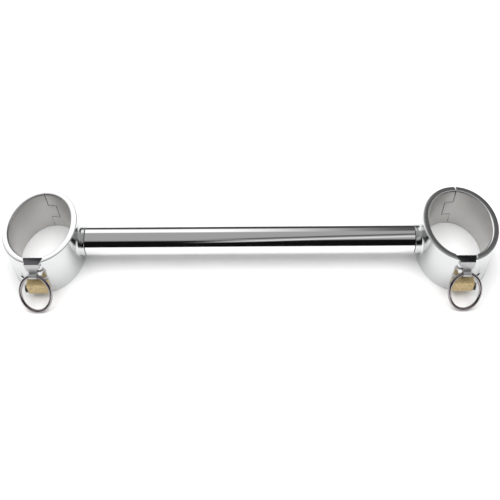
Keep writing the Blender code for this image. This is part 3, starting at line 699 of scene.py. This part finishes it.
def lock_body():
    """The brass block across the front seam, with its tail and heel in the wall."""
    low, high = LOCK_LOW, LOCK_HIGH
    bm = bmesh.new()
    bmesh.ops.create_cube(bm, size=1.0)
    size = Vector((high.x - low.x, LOCK_BACK - low.y, high.z - low.z))
    bmesh.ops.scale(bm, vec=size, verts=bm.verts)
    middle = Vector(((high.x + low.x) / 2, (LOCK_BACK + low.y) / 2, (high.z + low.z) / 2))
    bmesh.ops.translate(bm, vec=middle, verts=bm.verts)
    front = [e for e in bm.edges if any(v.co.y < low.y + 1e-5 for v in e.verts)]
    bmesh.ops.bevel(
        bm, geom=front, offset=0.00055, segments=4, affect="EDGES", profile=0.5, clamp_overlap=True
    )
    body = object_from(bm)
    tail_low, tail_high = low.z + POCKET_GAP, high.z - POCKET_GAP
    inset = high.x - 0.0001
    join(
        body,
        box((LOCK_TAIL_LEFT, LOCK_BACK - 0.001, tail_low), (inset, LOCK_TAIL_BACK, tail_high)),
        box((LOCK_HEEL_LEFT, LOCK_BACK - 0.001, tail_low), (inset, high.y, tail_high)),
    )
    axis = (BARREL.y, BARREL.z)
    cover_low, cover_high = in_cuff("right_spring_cover")
    rim = 0.00008
    cut(
        body,
        cylinder("X", CHAMBER_RIGHT - 0.001, 0.02, axis, BARREL_RADIUS + 0.00015),
        box(
            (CHAMBER_LEFT, CAM_CHAMBER_FRONT, CAM_CHAMBER_LOW),
            (CHAMBER_RIGHT, CAM_CHAMBER_BACK, CAM_CHAMBER_HIGH),
        ),
        cylinder("X", -0.02, CHAMBER_LEFT + 0.0005, axis, 0.0019),
        box(
            (cover_low.x - rim, cover_low.y - rim, cover_low.z - POCKET_GAP),
            (cover_high.x + rim, cover_high.y + rim, 0.03),
        ),
    )
    return body


def key_barrel():
    """The turning barrel: its head outside the block, with the keyway in its face."""
    low, high = in_cuff("right_lock_plug")
    axis = (BARREL.y, BARREL.z)
    edge = 0.0004
    head = LOCK_HIGH.x + POCKET_GAP
    profile = [
        (-0.0049, BARREL_RADIUS),
        (head, BARREL_RADIUS),
        (head, BARREL_HEAD - edge / 2),
        (head + edge / 2, BARREL_HEAD),
        (high.x - edge, BARREL_HEAD),
        (high.x - edge * 0.3, BARREL_HEAD - edge * 0.3),
        (high.x, BARREL_HEAD - edge),
        (high.x, 0.0019),
        (high.x - 0.0002, 0.0017),
    ]
    barrel = turned("X", profile, axis, 64)
    tail = cylinder("X", low.x, -0.0045, axis, 0.0012, 32)
    join(barrel, tail)
    keyway = box(
        (-0.0035, BARREL.y - KEYWAY_HALF, KEYWAY_LOW), (0.02, BARREL.y + KEYWAY_HALF, KEYWAY_HIGH)
    )
    return cut(barrel, keyway)


def bar_screw():
    """The flat-head screw inside the cuff, with a hexagon socket."""
    low, high = in_cuff("right_bar_screw")
    radius = (high.z - low.z) / 2
    head, flat, socket = 0.0028, 0.00025, 0.0021
    profile = [
        (high.x, radius - 0.0002),
        (high.x - flat, radius),
        (high.x - head, 0.0030),
        (low.x + 0.0005, 0.0030),
        (low.x, 0.0026),
    ]
    screw = turned("X", profile, (0, BAR_Z), 64)
    return cut(screw, cylinder("X", high.x - 0.0018, 0.0, (0, BAR_Z), socket, 6))


def bar_tube():
    """The straight tube, its outside edges and its bore's mouths broken."""
    end, edge = BAR_HIGH.x, 0.00025
    profile = [
        (-end, BAR_BORE + edge),
        (-end, BAR_RADIUS - edge),
        (-end + edge, BAR_RADIUS),
        (end - edge, BAR_RADIUS),
        (end, BAR_RADIUS - edge),
        (end, BAR_BORE + edge),
        (end - edge, BAR_BORE),
        (-end + edge, BAR_BORE),
    ]
    return turned("X", profile, ((BAR_HIGH.y + BAR_LOW.y) / 2, BAR_Z), 160, closed=True)


def is_bore_face(face):
    """True on the wall that faces the wrist."""
    centre, normal = face.center, face.normal
    if abs(normal.z) > 0.35:
        return False
    reach = (centre.x / INNER_X) ** 2 + (centre.y / INNER_Y) ** 2
    facing_in = normal.x * centre.x + normal.y * centre.y < 0
    return facing_in and reach < 1.03


def is_rim_face(face):
    return abs(face.normal.z) > 0.9 and not 0.001 < face.center.z < CUFF_HEIGHT - 0.001


def is_screw_hole_face(face):
    """The hole beside the lock for its clamping screw, and the dimple at its mouth: painted near black
    as painted shade.
    """
    grub = middle_of("right_lock_set_screw")
    away = math.hypot(face.center.y - grub.y, face.center.z - grub.z)
    in_hole = away < SET_HOLE * 1.02 and face.center.x > LOCK_HIGH.x + POCKET_GAP * 1.5
    place, out = screw_mouth_place()
    reach = face.center - place
    depth = reach.dot(out)
    in_dimple = (reach - out * depth).length < DIMPLE_RADIUS * 1.02 and abs(depth) < DIMPLE_DEPTH * 1.1
    return in_hole or in_dimple


def is_seat_slope_face(face):
    """The sloping top of the flat seat behind the lock."""
    centre, normal = face.center, face.normal
    across = LOCK_LOW.x - 0.0003 < centre.x < SEAM_X
    up = LOCK_HIGH.z - 0.0003 < centre.z < LOCK_HIGH.z + SEAT_SLOPE_RISE
    return across and up and centre.y < -INNER_Y and normal.z > 0.2 and normal.y < -0.2


def paint_cuff(obj):
    mesh = obj.data
    mesh.materials.clear()
    for name in ("polished", "satin", "rim", "black", "seat"):
        mesh.materials.append(MATERIALS[name])
    for face in mesh.polygons:
        # The screw hole and its dimple get the near black: painted shade.
        if is_screw_hole_face(face):
            face.material_index = 3
        elif is_seat_slope_face(face):
            face.material_index = 4
        else:
            face.material_index = 1 if is_bore_face(face) else 2 if is_rim_face(face) else 0


def paint_lug(obj):
    """The crown on the cap is painted near black, a painted dark reflection and shade; the plate and the
    eye are satin.
    """
    mesh = obj.data
    mesh.materials.clear()
    for name in ("lug", "cap"):
        mesh.materials.append(MATERIALS[name])
    for face in mesh.polygons:
        crown = face.normal.z > 0.85 and face.center.z > LUG_CAP_BOTTOM + 0.001
        face.material_index = 1 if crown else 0


def paint(obj, name):
    obj.data.materials.clear()
    obj.data.materials.append(MATERIALS[name])


def finish_piece(obj, name, body, stands_for):
    obj.name = name
    obj.data.name = name
    obj.data.shade_smooth()
    obj.data.set_sharp_from_angle(angle=math.radians(30))
    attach(obj, body)
    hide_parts(stands_for)


def both_sides(piece, name, body, stands_for):
    """Places a piece of the right cuff, and its mirror image in the left cuff."""
    piece.data.transform(Matrix.Translation(CENTRE))
    left = object_of(mirrored(piece.data))
    for side, obj in (("right", piece), ("left", left)):
        rides_on = "bar_frame" if body == "bar_frame" else f"{side}_{body}"
        finish_piece(obj, f"{side}_{name}", rides_on, f"{side}_{stands_for}")


def make_pieces():
    bar = bar_tube()
    paint(bar, "mirror")
    finish_piece(bar, "straight_bar", "bar_frame", "bar_tube")
    fixed = fixed_half()
    paint_cuff(fixed)
    both_sides(fixed, "inner_shell", "bar_frame", "fixed_half")
    hinged = hinged_half()
    paint_cuff(hinged)
    both_sides(hinged, "outer_shell", "gate", "hinged_half")
    lug = ring_lug()
    paint_lug(lug)
    both_sides(lug, "rim_lug", "gate", "ring_lug")
    block = lock_body()
    paint(block, "brass")
    both_sides(block, "brass_block", "gate", "lock_body")
    barrel = key_barrel()
    # The barrel's head is painted dark: its own dark steel, and also painted shade at the key end beside
    # the brass block.
    paint(barrel, "dark")
    both_sides(barrel, "key_barrel", "key_plug", "lock_plug")
    screw = bar_screw()
    paint(screw, "dark")
    both_sides(screw, "cuff_screw", "bar_frame", "bar_screw")
    wire = ring()
    paint(wire, "chrome")
    both_sides(wire, "wire_ring", "ring_body", "ring")


def paint_small_nodes():
    """The CAD nodes that stay as they are: small screws, pins, covers, cams and springs."""
    looks = {
        "spring_cover": "brass",
        "driver_pin": "brass",
        "key_pin": "brass",
        "tumbler_spring": "spring",
        "end_plug": "polished",
        # The grub screw at the bottom of its hole takes the same near black, as painted shade down the
        # hole.
        "lock_set_screw": "black",
    }
    for name, obj in frame["nodes"].items():
        look = "dark"
        for part, chosen in looks.items():
            if part in name:
                look = chosen
        obj.data.materials.clear()
        obj.data.materials.append(MATERIALS[look])
        obj.data.shade_smooth()
        obj.data.set_sharp_from_angle(angle=math.radians(30))


# The studio


def area_light(name, place, aim, size, power, glossy=True):
    data = bpy.data.lights.new(name, "AREA")
    data.shape = "RECTANGLE"
    data.size, data.size_y = size
    data.energy = power
    light = bpy.data.objects.new(name, data)
    bpy.context.scene.collection.objects.link(light)
    light.location = place
    light.rotation_euler = (Vector(aim) - Vector(place)).to_track_quat("-Z", "Y").to_euler()
    light.visible_glossy = glossy
    return light


def math_node(tree, operation, first, second=0.0):
    node = tree.nodes.new("ShaderNodeMath")
    node.operation = operation
    for index, value in enumerate((first, second)):
        if isinstance(value, (int, float)):
            node.inputs[index].default_value = value
        else:
            tree.links.new(value, node.inputs[index])
    return node.outputs[0]


def smooth_step(tree, source, low, high):
    node = tree.nodes.new("ShaderNodeMapRange")
    node.interpolation_type = "SMOOTHSTEP"
    node.inputs["From Min"].default_value = low
    node.inputs["From Max"].default_value = high
    tree.links.new(source, node.inputs["Value"])
    return node.outputs["Result"]


def studio_world():
    """Grey overhead, a dark room in front, a bright soft box up at the back left."""
    world = bpy.data.worlds.new("studio")
    bpy.context.scene.world = world
    world.use_nodes = True
    tree = world.node_tree
    background = tree.nodes["Background"]
    coordinates = tree.nodes.new("ShaderNodeTexCoord")
    parts = tree.nodes.new("ShaderNodeSeparateXYZ")
    tree.links.new(coordinates.outputs["Generated"], parts.inputs[0])
    x, y, z = parts.outputs
    overhead, box_light, box_dim, room, horizon, strip_light = 0.43, 1.35, 0.11, 0.006, 0.07, 0.95

    def blend(base, target, weight):
        kept = math_node(tree, "MULTIPLY", base, math_node(tree, "SUBTRACT", 1.0, weight))
        return math_node(tree, "ADD", kept, math_node(tree, "MULTIPLY", target, weight))

    def bump_at(centre, half_width):
        """1 at this turn from overhead, falling to 0 on both sides."""
        away = math_node(tree, "ABSOLUTE", math_node(tree, "SUBTRACT", turn, centre))
        return math_node(tree, "SUBTRACT", 1.0, smooth_step(tree, away, 0.02, half_width))

    front = math_node(tree, "MULTIPLY", y, -1.0)
    turn = math_node(tree, "ARCTAN2", front, z)
    in_front = smooth_step(tree, turn, 0.60, 0.80)
    behind = smooth_step(tree, y, 0.40, 0.56)
    low_behind = smooth_step(tree, y, 0.82, 0.92)
    to_the_left = smooth_step(tree, math_node(tree, "MULTIPLY", x, -1.0), -0.20, 0.10)
    box_level = math_node(
        tree, "ADD", box_dim, math_node(tree, "MULTIPLY", to_the_left, box_light - box_dim)
    )
    slant = math_node(tree, "MULTIPLY", x, -2.3)
    to_the_right = smooth_step(tree, x, -0.11, 0.0)
    shade = math_node(tree, "MULTIPLY", bump_at(math_node(tree, "ADD", slant, 0.44), 0.17), to_the_right)
    strip = math_node(tree, "MULTIPLY", bump_at(math_node(tree, "ADD", slant, 0.75), 0.15), to_the_right)

    level = blend(overhead, box_level, behind)
    level = blend(level, horizon, low_behind)
    level = blend(level, 0.10, shade)
    level = blend(level, room, in_front)
    level = blend(level, strip_light, strip)
    tree.links.new(level, background.inputs["Strength"])
    background.inputs["Color"].default_value = (1, 1, 1, 1)


def floor_material():
    made, _, shader, _ = new_material("pale_floor")
    shader.inputs["Base Color"].default_value = (0.92, 0.92, 0.92, 1)
    shader.inputs["Roughness"].default_value = 0.9
    shader.inputs["Specular IOR Level"].default_value = 0.1
    return made


def make_studio():
    bm = bmesh.new()
    bmesh.ops.create_grid(bm, x_segments=1, y_segments=1, size=6.0)
    floor = object_from(bm)
    floor.name = "floor"
    floor.location.z = -0.0001
    floor.data.materials.append(floor_material())
    area_light("overhead", (0, 0.08, 1.15), (0, 0, 0), (1.5, 1.3), 19, glossy=False)
    area_light("front_fill", (0, -1.1, 0.75), (0, 0, 0), (1.6, 0.9), 5, glossy=False)


def make_camera():
    """Looks down at the bar from the front, a little above half way to straight down."""
    data = bpy.data.cameras.new("camera")
    data.lens = 54.22
    data.sensor_width = 36
    camera = bpy.data.objects.new("camera", data)
    bpy.context.scene.collection.objects.link(camera)
    pitch, yaw, roll = math.radians(52.88), math.radians(1.828), math.radians(-1.828)
    camera.location = (0.01296, CENTRE_Y - 0.39959, 0.53493)
    tilt = Matrix.Rotation(math.pi / 2 - pitch, 4, "X")
    turn = Matrix.Rotation(yaw, 4, "Z") @ tilt @ Matrix.Rotation(roll, 4, "Z")
    camera.rotation_euler = turn.to_euler()
    bpy.context.scene.camera = camera


bpy.context.scene.view_settings.view_transform = "Standard"
MATERIALS = make_materials()
make_pieces()
paint_small_nodes()
make_studio()
studio_world()
make_camera()
